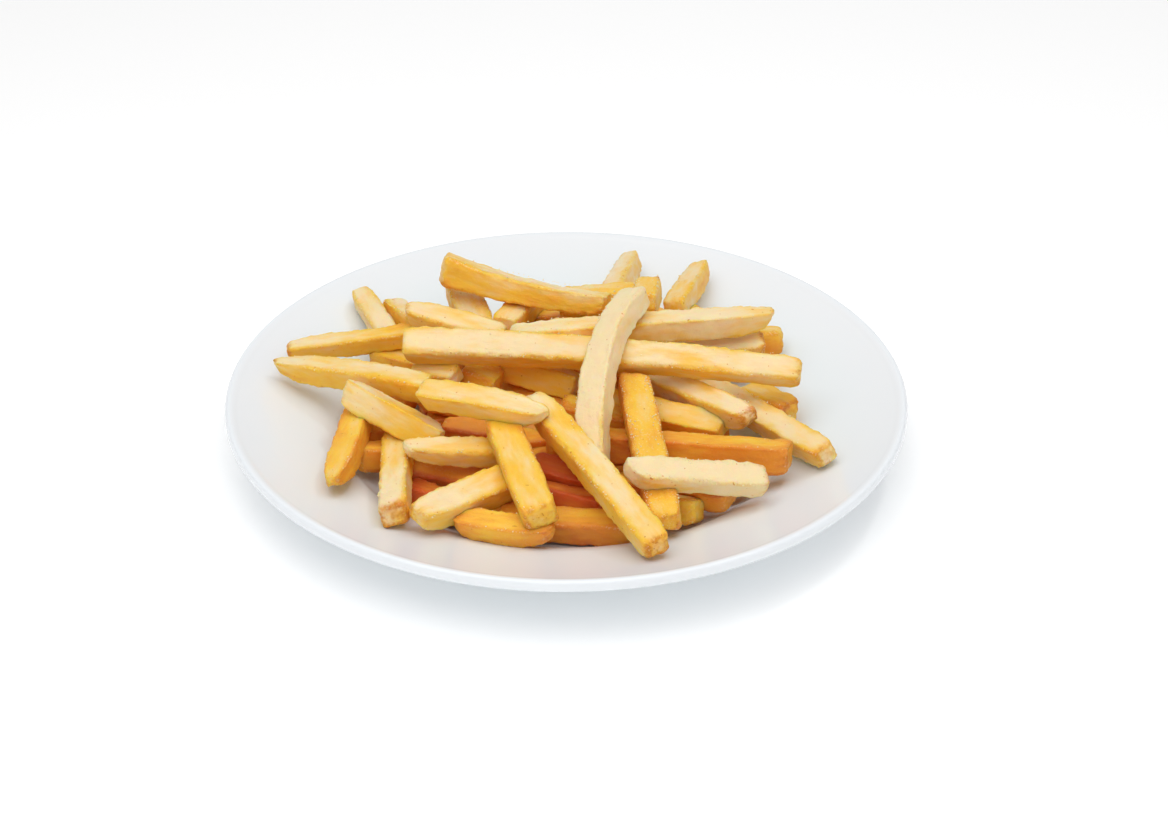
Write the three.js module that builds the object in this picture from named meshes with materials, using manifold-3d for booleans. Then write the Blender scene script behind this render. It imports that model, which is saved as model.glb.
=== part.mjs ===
// A portion of straight-cut french fries heaped in the well of a wide-rimmed porcelain plate.
// Millimetres, +Z up. The origin is the middle of the plate's foot, on the surface that it stands on.
// The heap is one solid: a low core, a bed of buried fries and the fries that show, fused together.
import * as THREE from "three";
import { mergeVertices } from "three/addons/utils/BufferGeometryUtils.js";
import Module from "manifold-3d";

const wasm = await Module();
wasm.setup();

// ---------------------------------------------------------------- plate dimensions
const RIM_RADIUS = 120;
const RIM_HEIGHT = 26; // top of the rim's outer edge
const RIM_THICKNESS = 4.4;
const RIM_ROUND = 2.4; // how far in from its edge the rim is rounded
const LIP_RADIUS = 85; // where the rim turns down into the well
const LIP_HEIGHT = 15.2;
const LIP_ROUND = 4;
const LIP_DROP = 2.4; // fall of the wall just inside the lip
const WALL_THICKNESS = 4.2;
const FLOOR_RADIUS = 66; // flat part of the well
const FLOOR_HEIGHT = 6.5;
const FLOOR_BEND = 9; // where the wall's line would meet the floor, out from the flat part
const FOOT_OUTER = 70;
const FOOT_INNER = 65;
const FOOT_HEIGHT = 3;
const FOOT_DRAFT = 0.7; // lean of the foot ring's two sides
const RIM_SLOPE = (RIM_HEIGHT - LIP_HEIGHT) / (RIM_RADIUS - LIP_RADIUS);
const PLATE_SEGMENTS = 56;
const CURVE_STEPS = 3; // straight pieces in each bend of the profile

// ---------------------------------------------------------------- fry dimensions
const FRY_WIDE = 10;
const FRY_TALL = 9.5;
const FRY_EDGE = 0.8; // share of a face that stays flat between its bevelled corners
const TIP_REACH = 4; // length over which even a blunt end closes in
const TIP_TAPER = 24; // further length over which a pointed end closes in
const TIP_RISE = 0.8; // how far a closing end moves towards the upper face, as a share of what it loses
const SECTION_CORNERS = 8;
const BLUNT_TIP = 0.72; // from this on an end needs only two cross-sections
const BLUNT_SECTIONS = [0, 3]; // distances of the cross-sections from a blunt end
const POINTED_SECTIONS = [0, 3, 9];
const BENT_SECTIONS = [0.28, 0.5, 0.72]; // further cross-sections of a bent fry, as shares of its length
const CLEARANCE = 0.3; // gap that the heap keeps to the porcelain

// ---------------------------------------------------------------- buried bed and core
const LOW_CORE = { centre: [0, -4], radius: 60, height: 15 };
const HIGH_CORE = { centre: [2, 28], radius: 42, height: 29 };
const CORE_SHOULDER = 0.7; // share of a core's radius out to which its top stays broad
const CORE_SEGMENTS = 20;
const BED_SEED = 17;
const DRAW_FACTOR = 16807; // these two make a Lehmer random sequence
const DRAW_RANGE = 2147483647;
const BED_LANE = 13.5; // spacing of the buried fries
const BED_GAP = 4; // gap between the two fries of a lane
const BED_JITTER = 0.16; // spread of their directions, radians
const BED_HEIGHT = 11.8;
const BED_RADIUS = 69;
const BED_TURN = 0.3; // direction of the buried fries, radians from X

// ---------------------------------------------------------------- the fries that show
// Each one runs from one end to the other. bend bows its middle to the left and upwards, roll turns
// its section, taper is the far end's thickness as a share of the near end's, and tips close the ends:
// 1 is cut square, 0.3 is nearly a point.
const fry = (from, to, finish = {}) => ({
  from,
  to,
  section: [FRY_WIDE, FRY_TALL],
  taper: 1,
  roll: 0,
  bend: [0, 0],
  tips: [1, 1],
  ...finish,
});

const LOW_IN_THE_WELL = [
  fry([-22, -65, 13], [22, -72, 14], { roll: -10 }),
  fry([27, -55, 12.5], [45, -64, 15.5], { roll: 20, tips: [1, 0.8] }),
  fry([39, -51, 17], [56, -61, 19], { roll: -15, tips: [1, 0.8] }),
  fry([44, -39, 13], [66, -48, 18.6], { roll: 10, tips: [1, 0.8] }),
  fry([-73, -35, 18.5], [-56, -26, 14], { roll: 10, tips: [0.8, 1] }),
  fry([-73, -19, 17], [-54, -11, 14], { tips: [0.8, 1] }),
  fry([-10, -54, 16], [12, -61, 15], { roll: 15 }),
  fry([-12, -42, 19], [12, -50, 17], { roll: -12 }),
  fry([-60, -34, 13.8], [-27, -43, 13], { roll: -12, tips: [1, 0.8] }),
  fry([-54, -47, 12], [-34, -60, 12.5], { roll: 14 }),
  fry([-43, -18, 20], [-19, -23, 19.2], { section: [8.5, 8], roll: -15, tips: [0.6, 1] }),
  fry([-70, 26, 23], [-45, 14, 24], { tips: [0.7, 1] }),
  fry([-62, 8, 14.7], [-50, 31, 14.7], { roll: 6 }),
  fry([-54, 5, 29], [-38, -2, 31], { section: [8.5, 8], roll: -15, tips: [1, 0.9] }),
  fry([-52, 0, 23.5], [-26, -3, 19.5], { roll: 8, tips: [0.8, 1] }),
  fry([-37, 9, 26], [-24, 3, 25], { tips: [0.8, 1] }),
  fry([-22, 13, 27], [4, 2, 24.8], { roll: 20 }),
  fry([-2, -11, 23], [23, -15, 19], { tips: [0.8, 1] }),
];

const RIGHT_SIDE = [
  fry([49, 37, 24], [79, 40, 22], { roll: 15, tips: [1, 0.8] }),
  fry([32, 20, 28], [71, 26, 28], { section: [9.5, 9], roll: -20, tips: [1, 0.9] }),
  fry([44, 40, 17.5], [57, 23, 19.3], { roll: -9 }),
  fry([65, 11, 16.5], [79, -8, 19.5], { tips: [1, 0.8] }),
  fry([43, 30, 14], [89, -44, 25], { section: [9.5, 9], roll: -22, tips: [1, 0.8] }),
  fry([12, 0, 20], [55, -22, 22], { section: [10, 9], roll: -23, tips: [1, 0.9] }),
  fry([12, -29, 20], [76, -47, 26], { section: [10.5, 10.5], roll: 10, tips: [1, 0.9] }),
  fry([32, 9, 24], [64, -27, 29], { section: [9.5, 9], roll: -15, tips: [1, 0.5] }),
  fry([23.3, -8, 33.2], [33, -82.2, 22.3], { section: [11.5, 9.5], roll: -2, tips: [0.85, 0.75] }),
  fry([19.5, -69, 35], [67, -60, 25], { section: [9.6, 8.8], roll: -27, tips: [0.6, 0.75] }),
];

const FRONT_AND_LEFT = [
  fry([-36, -75.5, 19], [-3.5, -84, 20], { section: [9.5, 9], roll: -13, tips: [0.6, 0.45] }),
  fry([-49.5, -82, 24.5], [-19, -57, 23.2], { section: [10.6, 10], roll: -24, tips: [0.45, 1] }),
  fry([-58, -23, 20], [-56, -80, 24.5], { section: [10, 8.8], roll: -14, tips: [0.9, 0.95] }),
  fry([-71, -4, 24], [-77, -62, 24.5], { section: [10, 8.4], roll: -15, tips: [0.9, 0.3] }),
  fry([-55, -47, 29], [-21, -40, 24], { section: [8.8, 7.8], roll: -13, tips: [0.3, 1] }),
  fry([-22, -37, 34], [-7.6, -86, 27.5], { section: [12, 9.5], roll: -8, tips: [1, 0.85] }),
  fry([-76, -15, 33], [-42.5, -37, 26], { section: [10, 10], roll: 28, tips: [0.75, 0.7] }),
  fry([-104, 14, 25.5], [-48, -15, 34], {
    section: [8.8, 8.6],
    roll: -7,
    bend: [0, 1.5],
    tips: [0.15, 0.85],
  }),
  fry([-101, 26, 25.5], [-51, 24, 34], { section: [7.8, 7.4], roll: -7, tips: [0.55, 1] }),
  fry([-11, -29, 38], [30.5, -101, 26], { section: [10, 9], roll: -11, tips: [0.4, 0.75] }),
];

const BACK_SLOPE = [
  fry([-78, 70, 25.5], [-64, 34, 25], { section: [8.5, 7.5], roll: -8, tips: [0.7, 1] }),
  fry([-66, 62, 24], [-50, 35, 29], { section: [8.5, 8], roll: 4, tips: [0.8, 1] }),
  fry([51, 88, 26], [39, 47, 31], { section: [9.4, 8.6], roll: -15, tips: [0.5, 1] }),
  fry([25, 96, 26], [17.5, 51.5, 35.5], { section: [9.4, 8.6], roll: -25, tips: [0.3, 1] }),
  fry([-40, 62, 33.5], [-30, 24, 29.5], { section: [12, 9], roll: -3 }),
  fry([-12, 57, 31], [-23, 24, 36], { tips: [0.9, 0.8] }),
  fry([-3, 43, 36], [27, 46, 37]),
  fry([30, 43, 43.5], [27.5, 24, 45], { section: [9.5, 9], roll: -6, tips: [0.9, 1] }),
  fry([-66, 41, 19.5], [-20, 56, 15], { roll: 12, tips: [0.7, 1] }),
  fry([-16, 72, 16.5], [12, 66, 15.5], { roll: -15, tips: [0.7, 0.9] }),
  fry([18, 70, 18], [56, 53, 15], { roll: 18, tips: [0.5, 1] }),
  fry([6, 54, 18], [36, 46.5, 18.5], { roll: -8, tips: [0.8, 0.6] }),
  fry([-60, 56, 20], [-35, 52, 24.5], { roll: 20, tips: [0.8, 1] }),
  fry([48, 56, 24], [30, 33, 25], { roll: -20, tips: [0.6, 1] }),
  fry([-15, 48, 24.5], [28, 47, 27.5], { roll: 10, tips: [0.5, 1] }),
];

const TOP = [
  fry([-58, 25, 42], [-22, 17, 37], { section: [10, 9], roll: -15, tips: [0.4, 0.35] }),
  fry([-49, -28, 40.5], [-6, -45, 40.5], { section: [9.6, 9], roll: -17, bend: [0, 1], tips: [0.8, 0.3] }),
  fry([-20, 7, 42], [74, 27.5, 38], { section: [9.4, 9], roll: -3, bend: [-3, 2], tips: [0.35, 0.3] }),
  fry([-57, 4, 41], [82, -7, 36], {
    section: [11, 9.8],
    taper: 0.86,
    roll: -36,
    bend: [0, 2],
    tips: [0.85, 0.8],
  }),
  fry([-46, 50, 47], [15, 26, 45], {
    section: [10.8, 11.4],
    taper: 0.62,
    roll: 18,
    bend: [0, -2.5],
    tips: [0.95, 0.8],
  }),
  fry([25, 19, 52.5], [9, -51, 26], { section: [10.5, 8.8], roll: -22, bend: [-5, 6], tips: [0.9, 1] }),
];

const SHOWN_FRIES = [...LOW_IN_THE_WELL, ...RIGHT_SIDE, ...FRONT_AND_LEFT, ...BACK_SLOPE, ...TOP];

// ---------------------------------------------------------------- solids
// A closed three.js geometry as a manifold solid.
function solidOf(geometry) {
  const shell = geometry.clone();
  shell.deleteAttribute("normal");
  shell.deleteAttribute("uv");
  const merged = mergeVertices(shell, 1e-4);
  const mesh = new wasm.Mesh({
    numProp: 3,
    vertProperties: new Float32Array(merged.attributes.position.array),
    triVerts: new Uint32Array(merged.index.array),
  });
  return new wasm.Manifold(mesh);
}

// A manifold solid as a three.js geometry.
function geometryOf(solid) {
  const mesh = solid.getMesh();
  const geometry = new THREE.BufferGeometry();
  geometry.setAttribute("position", new THREE.BufferAttribute(mesh.vertProperties, 3));
  geometry.setIndex(new THREE.BufferAttribute(mesh.triVerts, 1));
  geometry.computeVertexNormals();
  return geometry;
}

// A profile in the (radius, height) plane, turned round the Z axis.
function turned(points, segments) {
  return new THREE.LatheGeometry(points, segments).rotateX(Math.PI / 2);
}

// ---------------------------------------------------------------- plate
// The upper face from the rounded rim to the middle of the well, lifted by an offset.
function drawUpperFace(profile, lift) {
  const floor = FLOOR_HEIGHT + lift;
  const lip = LIP_HEIGHT + lift;
  profile.lineTo(RIM_RADIUS - RIM_ROUND, RIM_HEIGHT - RIM_ROUND * RIM_SLOPE + lift);
  profile.lineTo(LIP_RADIUS + LIP_ROUND, lip + LIP_ROUND * RIM_SLOPE);
  profile.quadraticCurveTo(LIP_RADIUS, lip, LIP_RADIUS - LIP_ROUND, lip - LIP_DROP);
  profile.quadraticCurveTo(FLOOR_RADIUS + FLOOR_BEND, floor, FLOOR_RADIUS, floor);
  profile.lineTo(0, floor);
}

function makePlateGeometry() {
  const rimUnder = RIM_HEIGHT - RIM_THICKNESS;
  const profile = new THREE.Path();
  profile.moveTo(0, FOOT_HEIGHT);
  profile.lineTo(FOOT_INNER - FOOT_DRAFT, FOOT_HEIGHT);
  profile.lineTo(FOOT_INNER, 0);
  profile.lineTo(FOOT_OUTER, 0);
  profile.lineTo(FOOT_OUTER + FOOT_DRAFT, FOOT_HEIGHT);
  profile.quadraticCurveTo(LIP_RADIUS - LIP_ROUND, FLOOR_HEIGHT, LIP_RADIUS, LIP_HEIGHT - WALL_THICKNESS);
  profile.lineTo(RIM_RADIUS - RIM_ROUND, rimUnder);
  profile.quadraticCurveTo(RIM_RADIUS, rimUnder, RIM_RADIUS, rimUnder + RIM_THICKNESS / 2);
  profile.quadraticCurveTo(RIM_RADIUS, RIM_HEIGHT, RIM_RADIUS - RIM_ROUND / 2, RIM_HEIGHT);
  drawUpperFace(profile, 0);
  return turned(profile.getPoints(CURVE_STEPS), PLATE_SEGMENTS);
}

// Everything under the plate's upper face, and CLEARANCE above it: the heap is kept out of this.
function makePlateRoom() {
  const outside = RIM_RADIUS + LIP_ROUND;
  const profile = new THREE.Path();
  profile.moveTo(0, -RIM_HEIGHT);
  profile.lineTo(outside, -RIM_HEIGHT);
  profile.lineTo(outside, RIM_HEIGHT + CLEARANCE);
  drawUpperFace(profile, CLEARANCE);
  return solidOf(turned(profile.getPoints(CURVE_STEPS), PLATE_SEGMENTS));
}

// ---------------------------------------------------------------- fries
// How far the section has closed in at a distance from an end with the given tip.
function closing(distance, tip) {
  const reach = TIP_REACH + (1 - tip) * TIP_TAPER;
  if (distance >= reach) return 1;
  const rest = 1 - distance / reach;
  return tip + (1 - tip) * Math.sqrt(1 - rest * rest);
}

// The corners of the bevelled square section, a quarter turn at a time.
function sectionCorner(index) {
  const quarter = Math.floor(index / 2) * (Math.PI / 2);
  const [a, b] = index % 2 === 0 ? [1, -FRY_EDGE] : [1, FRY_EDGE];
  const turnedA = a * Math.cos(quarter) - b * Math.sin(quarter);
  const turnedB = a * Math.sin(quarter) + b * Math.cos(quarter);
  return [turnedA, turnedB];
}

// Cross-section places along a fry, as shares of its length.
function stationsOf(length, tips, bend) {
  const [head, tail] = tips.map((tip) => (tip < BLUNT_TIP ? POINTED_SECTIONS : BLUNT_SECTIONS));
  const middle = bend.some((bow) => bow !== 0) ? BENT_SECTIONS : [];
  return [...head.map((d) => d / length), ...middle, ...tail.map((d) => 1 - d / length).reverse()];
}

// An eight-sided prism whose rings are laid along the fry's bent axis.
function makeFryGeometry({ from, to, section, taper, roll, bend, tips }) {
  const start = new THREE.Vector3(...from);
  const span = new THREE.Vector3(...to).sub(start);
  const length = span.length();
  const left = new THREE.Vector3(-span.y, span.x, 0).normalize();
  const bow = left.clone().multiplyScalar(bend[0]).setZ(bend[1]);
  const stations = stationsOf(length, tips, bend);
  const geometry = new THREE.CylinderGeometry(1, 1, 1, SECTION_CORNERS, stations.length - 1);
  const place = geometry.attributes.position;
  const turn = THREE.MathUtils.degToRad(roll);
  for (let i = 0; i < place.count; i++) {
    const t = stations[Math.round((0.5 - place.getY(i)) * (stations.length - 1))];
    const angle = Math.atan2(place.getX(i), place.getZ(i));
    const onAxis = Math.hypot(place.getX(i), place.getZ(i)) < 0.5;
    const step = Math.round(angle / (Math.PI / 4));
    const [up, side] = onAxis ? [0, 0] : sectionCorner((step + SECTION_CORNERS) % SECTION_CORNERS);
    const ahead = span.clone().addScaledVector(bow, 4 * (1 - 2 * t)).normalize();
    const across = new THREE.Vector3(0, 0, 1).cross(ahead).normalize();
    const above = ahead.clone().cross(across);
    const size = Math.min(closing(t * length, tips[0]), closing((1 - t) * length, tips[1]));
    const thick = size * (1 + (taper - 1) * t);
    const a = (side * section[0] * thick) / 2;
    const b = (section[1] * (up * thick + TIP_RISE * (1 - size))) / 2;
    const point = start.clone().addScaledVector(span, t).addScaledVector(bow, 4 * t * (1 - t));
    point.addScaledVector(across, a * Math.cos(turn) + b * Math.sin(turn));
    point.addScaledVector(above, b * Math.cos(turn) - a * Math.sin(turn));
    place.setXYZ(i, point.x, point.y, point.z);
  }
  return geometry;
}

// A repeatable draw between 0 and 1.
function makeDraw(seed) {
  let state = seed;
  return () => {
    state = (state * DRAW_FACTOR) % DRAW_RANGE;
    return state / DRAW_RANGE;
  };
}

// Two buried fries in each lane of the bed, cut to its round outline.
function makeBed() {
  const draw = makeDraw(BED_SEED);
  const lanes = Math.floor((BED_RADIUS - FRY_WIDE / 2) / BED_LANE);
  const fries = [];
  for (let lane = -lanes; lane <= lanes; lane++) {
    const offset = lane * BED_LANE;
    const half = Math.sqrt(BED_RADIUS ** 2 - offset ** 2) - FRY_WIDE / 2;
    const split = (draw() - 0.5) * half;
    const runs = [
      [-half, split - BED_GAP / 2],
      [split + BED_GAP / 2, half],
    ];
    for (const [a, b] of runs) {
      const heading = BED_TURN + (draw() - 0.5) * BED_JITTER;
      const middle = (a + b) / 2;
      const x = middle * Math.cos(BED_TURN) - offset * Math.sin(BED_TURN);
      const y = middle * Math.sin(BED_TURN) + offset * Math.cos(BED_TURN);
      const dx = ((b - a) / 2) * Math.cos(heading);
      const dy = ((b - a) / 2) * Math.sin(heading);
      fries.push(fry([x - dx, y - dy, BED_HEIGHT], [x + dx, y + dy, BED_HEIGHT]));
    }
  }
  return fries;
}

// A low dome on the floor of the well, for the fries to lie on.
function makeCoreGeometry({ centre, radius, height }) {
  const profile = new THREE.Path();
  profile.moveTo(0, FLOOR_HEIGHT);
  profile.lineTo(radius, FLOOR_HEIGHT);
  profile.quadraticCurveTo(radius * CORE_SHOULDER, height, 0, height);
  return turned(profile.getPoints(CURVE_STEPS), CORE_SEGMENTS).translate(centre[0], centre[1], 0);
}

// Only the outer shell of the largest body: sealed hollows are filled and loose scraps dropped.
function largestShell(solid) {
  const bodies = solid.decompose();
  return bodies.reduce((best, body) => (body.volume() > best.volume() ? body : best));
}

function makeHeapGeometry() {
  const cores = [LOW_CORE, HIGH_CORE].map(makeCoreGeometry);
  const fries = [...makeBed(), ...SHOWN_FRIES].map(makeFryGeometry);
  const fused = [...cores, ...fries].map(solidOf).reduce((heap, one) => heap.add(one));
  return geometryOf(largestShell(fused.subtract(makePlateRoom())));
}

// ---------------------------------------------------------------- the portion
const porcelain = new THREE.MeshStandardMaterial({ color: 0xf1f1f0, roughness: 0.12, metalness: 0 });
const friedPotato = new THREE.MeshStandardMaterial({ color: 0xe9b862, roughness: 0.55, metalness: 0 });

const plate = new THREE.Mesh(makePlateGeometry(), porcelain);
plate.name = "plate";

const fries = new THREE.Mesh(makeHeapGeometry(), friedPotato);
fries.name = "fries";

const portion = new THREE.Group();
portion.add(plate, fries);

export default portion;
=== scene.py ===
"""A portion of french fries heaped on a wide-rimmed porcelain plate, laid out as a Blender add-on.

Lengths are in metres. The fries, the crumbs on them, the plate and the studio each have an operator.
"""

import math
import random

import bmesh
import bpy
import numpy as np
from mathutils import Matrix, Vector, noise


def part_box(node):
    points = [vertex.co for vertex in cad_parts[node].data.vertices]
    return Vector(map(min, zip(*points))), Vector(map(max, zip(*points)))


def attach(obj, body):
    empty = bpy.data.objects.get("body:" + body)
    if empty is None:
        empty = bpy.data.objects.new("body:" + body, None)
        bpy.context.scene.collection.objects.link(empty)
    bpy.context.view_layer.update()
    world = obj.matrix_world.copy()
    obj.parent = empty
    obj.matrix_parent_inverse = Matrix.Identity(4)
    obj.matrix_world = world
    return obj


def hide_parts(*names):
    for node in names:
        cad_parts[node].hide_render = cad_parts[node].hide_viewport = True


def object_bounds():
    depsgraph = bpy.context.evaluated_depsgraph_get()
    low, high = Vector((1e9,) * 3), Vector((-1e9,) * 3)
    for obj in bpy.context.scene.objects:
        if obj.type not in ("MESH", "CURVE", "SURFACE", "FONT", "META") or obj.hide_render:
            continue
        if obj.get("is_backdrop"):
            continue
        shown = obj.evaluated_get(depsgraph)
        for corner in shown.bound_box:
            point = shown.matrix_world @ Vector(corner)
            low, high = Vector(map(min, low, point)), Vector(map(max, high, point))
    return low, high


bl_info = {
    "name": "French fries portion",
    "version": (1, 0, 0),
    "blender": (4, 5, 0),
    "location": "3D View > Sidebar > Fries",
    "description": "Builds a plate of straight-cut french fries in a plain studio",
    "category": "Add Mesh",
}

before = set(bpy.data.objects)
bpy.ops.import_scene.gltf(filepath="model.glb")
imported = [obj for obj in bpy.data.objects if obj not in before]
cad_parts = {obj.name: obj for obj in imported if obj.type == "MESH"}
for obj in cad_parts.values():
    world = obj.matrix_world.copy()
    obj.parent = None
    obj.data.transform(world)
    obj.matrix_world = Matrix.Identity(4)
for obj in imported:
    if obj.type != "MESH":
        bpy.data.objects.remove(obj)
FRAME_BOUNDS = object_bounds()
PLATE_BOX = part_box("plate")

# ---- where the fries lie
# Each fry runs from one end to the other. "section" is its width and height, "taper" its far end's
# thickness as a share of the near end's, "roll" turns its section in degrees, and "bend" bows its middle to
# the left and upwards. "cut" turns the cuts at the ends to the left, in degrees, and "tips" close the ends:
# 1 is blunt, 0.3 is nearly a point. "tone" goes from 0, pale, over 1, gold, and 1.7, amber, to 2.9, deep,
# where the deep tones of fries low in the heap are painted shade; "brown" toasts the two ends, and "coarse"
# roughens the skin.
USUAL_FRY = {
    "section": None,
    "taper": 1,
    "roll": 0,
    "bend": (0, 0),
    "cut": None,
    "tips": (1, 1),
    "tone": 0.45,
    "brown": (0.2, 0.2),
    "coarse": 0.2,
}


def fry(start, end, **finish):
    """One fry's place and finish, with what isn't given left at the usual."""
    return {"start": Vector(start), "end": Vector(end), **USUAL_FRY, **finish}


# The deepest tones among these fries paint the shade under the heap.
LOW_IN_THE_WELL = [
    fry((-0.022, -0.065, 0.013), (0.022, -0.072, 0.014), roll=-10, tone=1.15),
    fry((0.027, -0.055, 0.0125), (0.045, -0.064, 0.0155), roll=20, tips=(1, 0.8), tone=0.3),
    fry((0.039, -0.051, 0.017), (0.056, -0.061, 0.019), roll=-15, tips=(1, 0.8), tone=1.1),
    fry((0.044, -0.039, 0.013), (0.066, -0.048, 0.0186), roll=10, tips=(1, 0.8), tone=0.9),
    fry((-0.073, -0.035, 0.0185), (-0.056, -0.026, 0.014), roll=10, tips=(0.8, 1), tone=0.9),
    fry((-0.073, -0.019, 0.017), (-0.054, -0.011, 0.014), tips=(0.8, 1), tone=0.8),
    fry((-0.01, -0.054, 0.016), (0.012, -0.061, 0.015), roll=15, tone=2.1),
    fry((-0.012, -0.042, 0.019), (0.012, -0.05, 0.017), roll=-12, tone=2.2),
    fry((-0.06, -0.034, 0.0138), (-0.027, -0.043, 0.013), roll=-12, tips=(1, 0.8), tone=1.3, coarse=0.5),
    fry((-0.054, -0.047, 0.012), (-0.034, -0.06, 0.0125), roll=14, tone=2.2),
    fry(
        (-0.043, -0.018, 0.02), (-0.019, -0.023, 0.0192),
        section=(0.0085, 0.008), roll=-15, tips=(0.6, 1), tone=1.7,
    ),
    fry((-0.07, 0.026, 0.023), (-0.045, 0.014, 0.024), tips=(0.7, 1), tone=0.2),
    fry((-0.062, 0.008, 0.0147), (-0.05, 0.031, 0.0147), roll=6, tone=1),
    fry(
        (-0.054, 0.005, 0.029), (-0.038, -0.002, 0.031),
        section=(0.0085, 0.008), roll=-15, tips=(1, 0.9), tone=0,
    ),
    fry((-0.052, 0.0, 0.0235), (-0.026, -0.003, 0.0195), roll=8, tips=(0.8, 1), tone=1.1),
    fry((-0.037, 0.009, 0.026), (-0.024, 0.003, 0.025), tips=(0.8, 1), tone=0.5, coarse=0.7),
    fry((-0.022, 0.013, 0.027), (0.004, 0.002, 0.0248), roll=20, tone=0.1),
    fry(
        (-0.002, -0.011, 0.023), (0.023, -0.015, 0.019),
        tips=(0.8, 1), tone=0.9, brown=(0.9, 0.2), coarse=0.6,
    ),
]

RIGHT_SIDE = [
    fry((0.049, 0.037, 0.024), (0.079, 0.04, 0.022), roll=15, tips=(1, 0.8), tone=0.7, brown=(0.2, 0.3)),
    fry(
        (0.032, 0.02, 0.028), (0.071, 0.026, 0.028),
        section=(0.0095, 0.009), roll=-20, tips=(1, 0.9), tone=-0.4, brown=(0.2, 0.9),
    ),
    fry((0.044, 0.04, 0.0175), (0.057, 0.023, 0.0193), roll=-9, tone=1),
    fry((0.065, 0.011, 0.0165), (0.079, -0.008, 0.0195), tips=(1, 0.8), tone=0.6, brown=(0.2, 0.7)),
    fry(
        (0.043, 0.03, 0.014), (0.089, -0.044, 0.025),
        section=(0.0095, 0.009), roll=-22, tips=(1, 0.8), tone=0.1, brown=(0.2, 0.6),
    ),
    fry(
        (0.012, 0.0, 0.02), (0.055, -0.022, 0.022),
        section=(0.01, 0.009), roll=-23, tips=(1, 0.9), tone=0.35,
    ),
    fry(
        (0.012, -0.029, 0.02), (0.076, -0.047, 0.026),
        section=(0.0105, 0.0105), roll=10, tips=(1, 0.9), tone=1.25, brown=(0.2, 0.6),
    ),
    fry(
        (0.032, 0.009, 0.024), (0.064, -0.027, 0.029),
        section=(0.0095, 0.009), roll=-15, tips=(1, 0.5), tone=0, brown=(0.2, 1),
    ),
    fry(
        (0.0233, -0.008, 0.0332), (0.033, -0.0822, 0.0223),
        section=(0.0115, 0.0095), roll=-2, cut=(20, 15), tips=(0.85, 0.75),
        tone=0.9, brown=(0.4, 0.5), coarse=1,
    ),
    fry(
        (0.0195, -0.069, 0.035), (0.067, -0.06, 0.025),
        section=(0.0096, 0.0088), roll=-27, cut=(-40, -10), tips=(0.6, 0.75),
        tone=-0.35, brown=(0.2, 0.6), coarse=0.6,
    ),
]

FRONT_AND_LEFT = [
    fry(
        (-0.036, -0.0755, 0.019), (-0.0035, -0.084, 0.02),
        section=(0.0095, 0.009), roll=-13, cut=(0, 20), tips=(0.6, 0.45), tone=0.95, brown=(0.4, 0.9),
    ),
    fry(
        (-0.0495, -0.082, 0.0245), (-0.019, -0.057, 0.0232),
        section=(0.0106, 0.01), roll=-24, cut=(-20, 0), tips=(0.45, 1), tone=0.35, brown=(0.5, 0.2),
    ),
    fry(
        (-0.058, -0.023, 0.02), (-0.056, -0.08, 0.0245),
        section=(0.01, 0.0088), roll=-14, cut=(0, 4), tips=(0.9, 0.95), tone=0.1, brown=(0.2, 1),
    ),
    fry(
        (-0.071, -0.004, 0.024), (-0.077, -0.062, 0.0245),
        section=(0.01, 0.0084), roll=-15, tips=(0.9, 0.3), tone=0.85, brown=(0.2, 0.3),
    ),
    fry(
        (-0.055, -0.047, 0.029), (-0.021, -0.04, 0.024),
        section=(0.0088, 0.0078), roll=-13, cut=(-25, 0), tips=(0.3, 1), tone=0.05,
    ),
    fry(
        (-0.022, -0.037, 0.034), (-0.0076, -0.086, 0.0275),
        section=(0.012, 0.0095), roll=-8, cut=(0, -8), tips=(1, 0.85), tone=0.6, brown=(0.2, 0.6),
    ),
    fry(
        (-0.076, -0.015, 0.033), (-0.0425, -0.037, 0.026),
        section=(0.01, 0.01), roll=28, cut=(0, -42), tips=(0.75, 0.7), tone=0.05,
    ),
    fry(
        (-0.104, 0.014, 0.0255), (-0.048, -0.015, 0.034),
        section=(0.0088, 0.0086), roll=-7, bend=(0, 0.0015), cut=(-30, 0), tips=(0.15, 0.85),
        tone=0.4, brown=(0.8, 0.2),
    ),
    fry(
        (-0.101, 0.026, 0.0255), (-0.051, 0.024, 0.034),
        section=(0.0078, 0.0074), roll=-7, cut=(0, 0), tips=(0.55, 1), tone=0.45, brown=(0.9, 0.2),
    ),
    fry(
        (-0.011, -0.029, 0.038), (0.0305, -0.101, 0.026),
        section=(0.01, 0.009), roll=-11, cut=(0, 0), tips=(0.4, 0.75),
        tone=0.4, brown=(0.2, 1), coarse=0.3,
    ),
]

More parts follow.
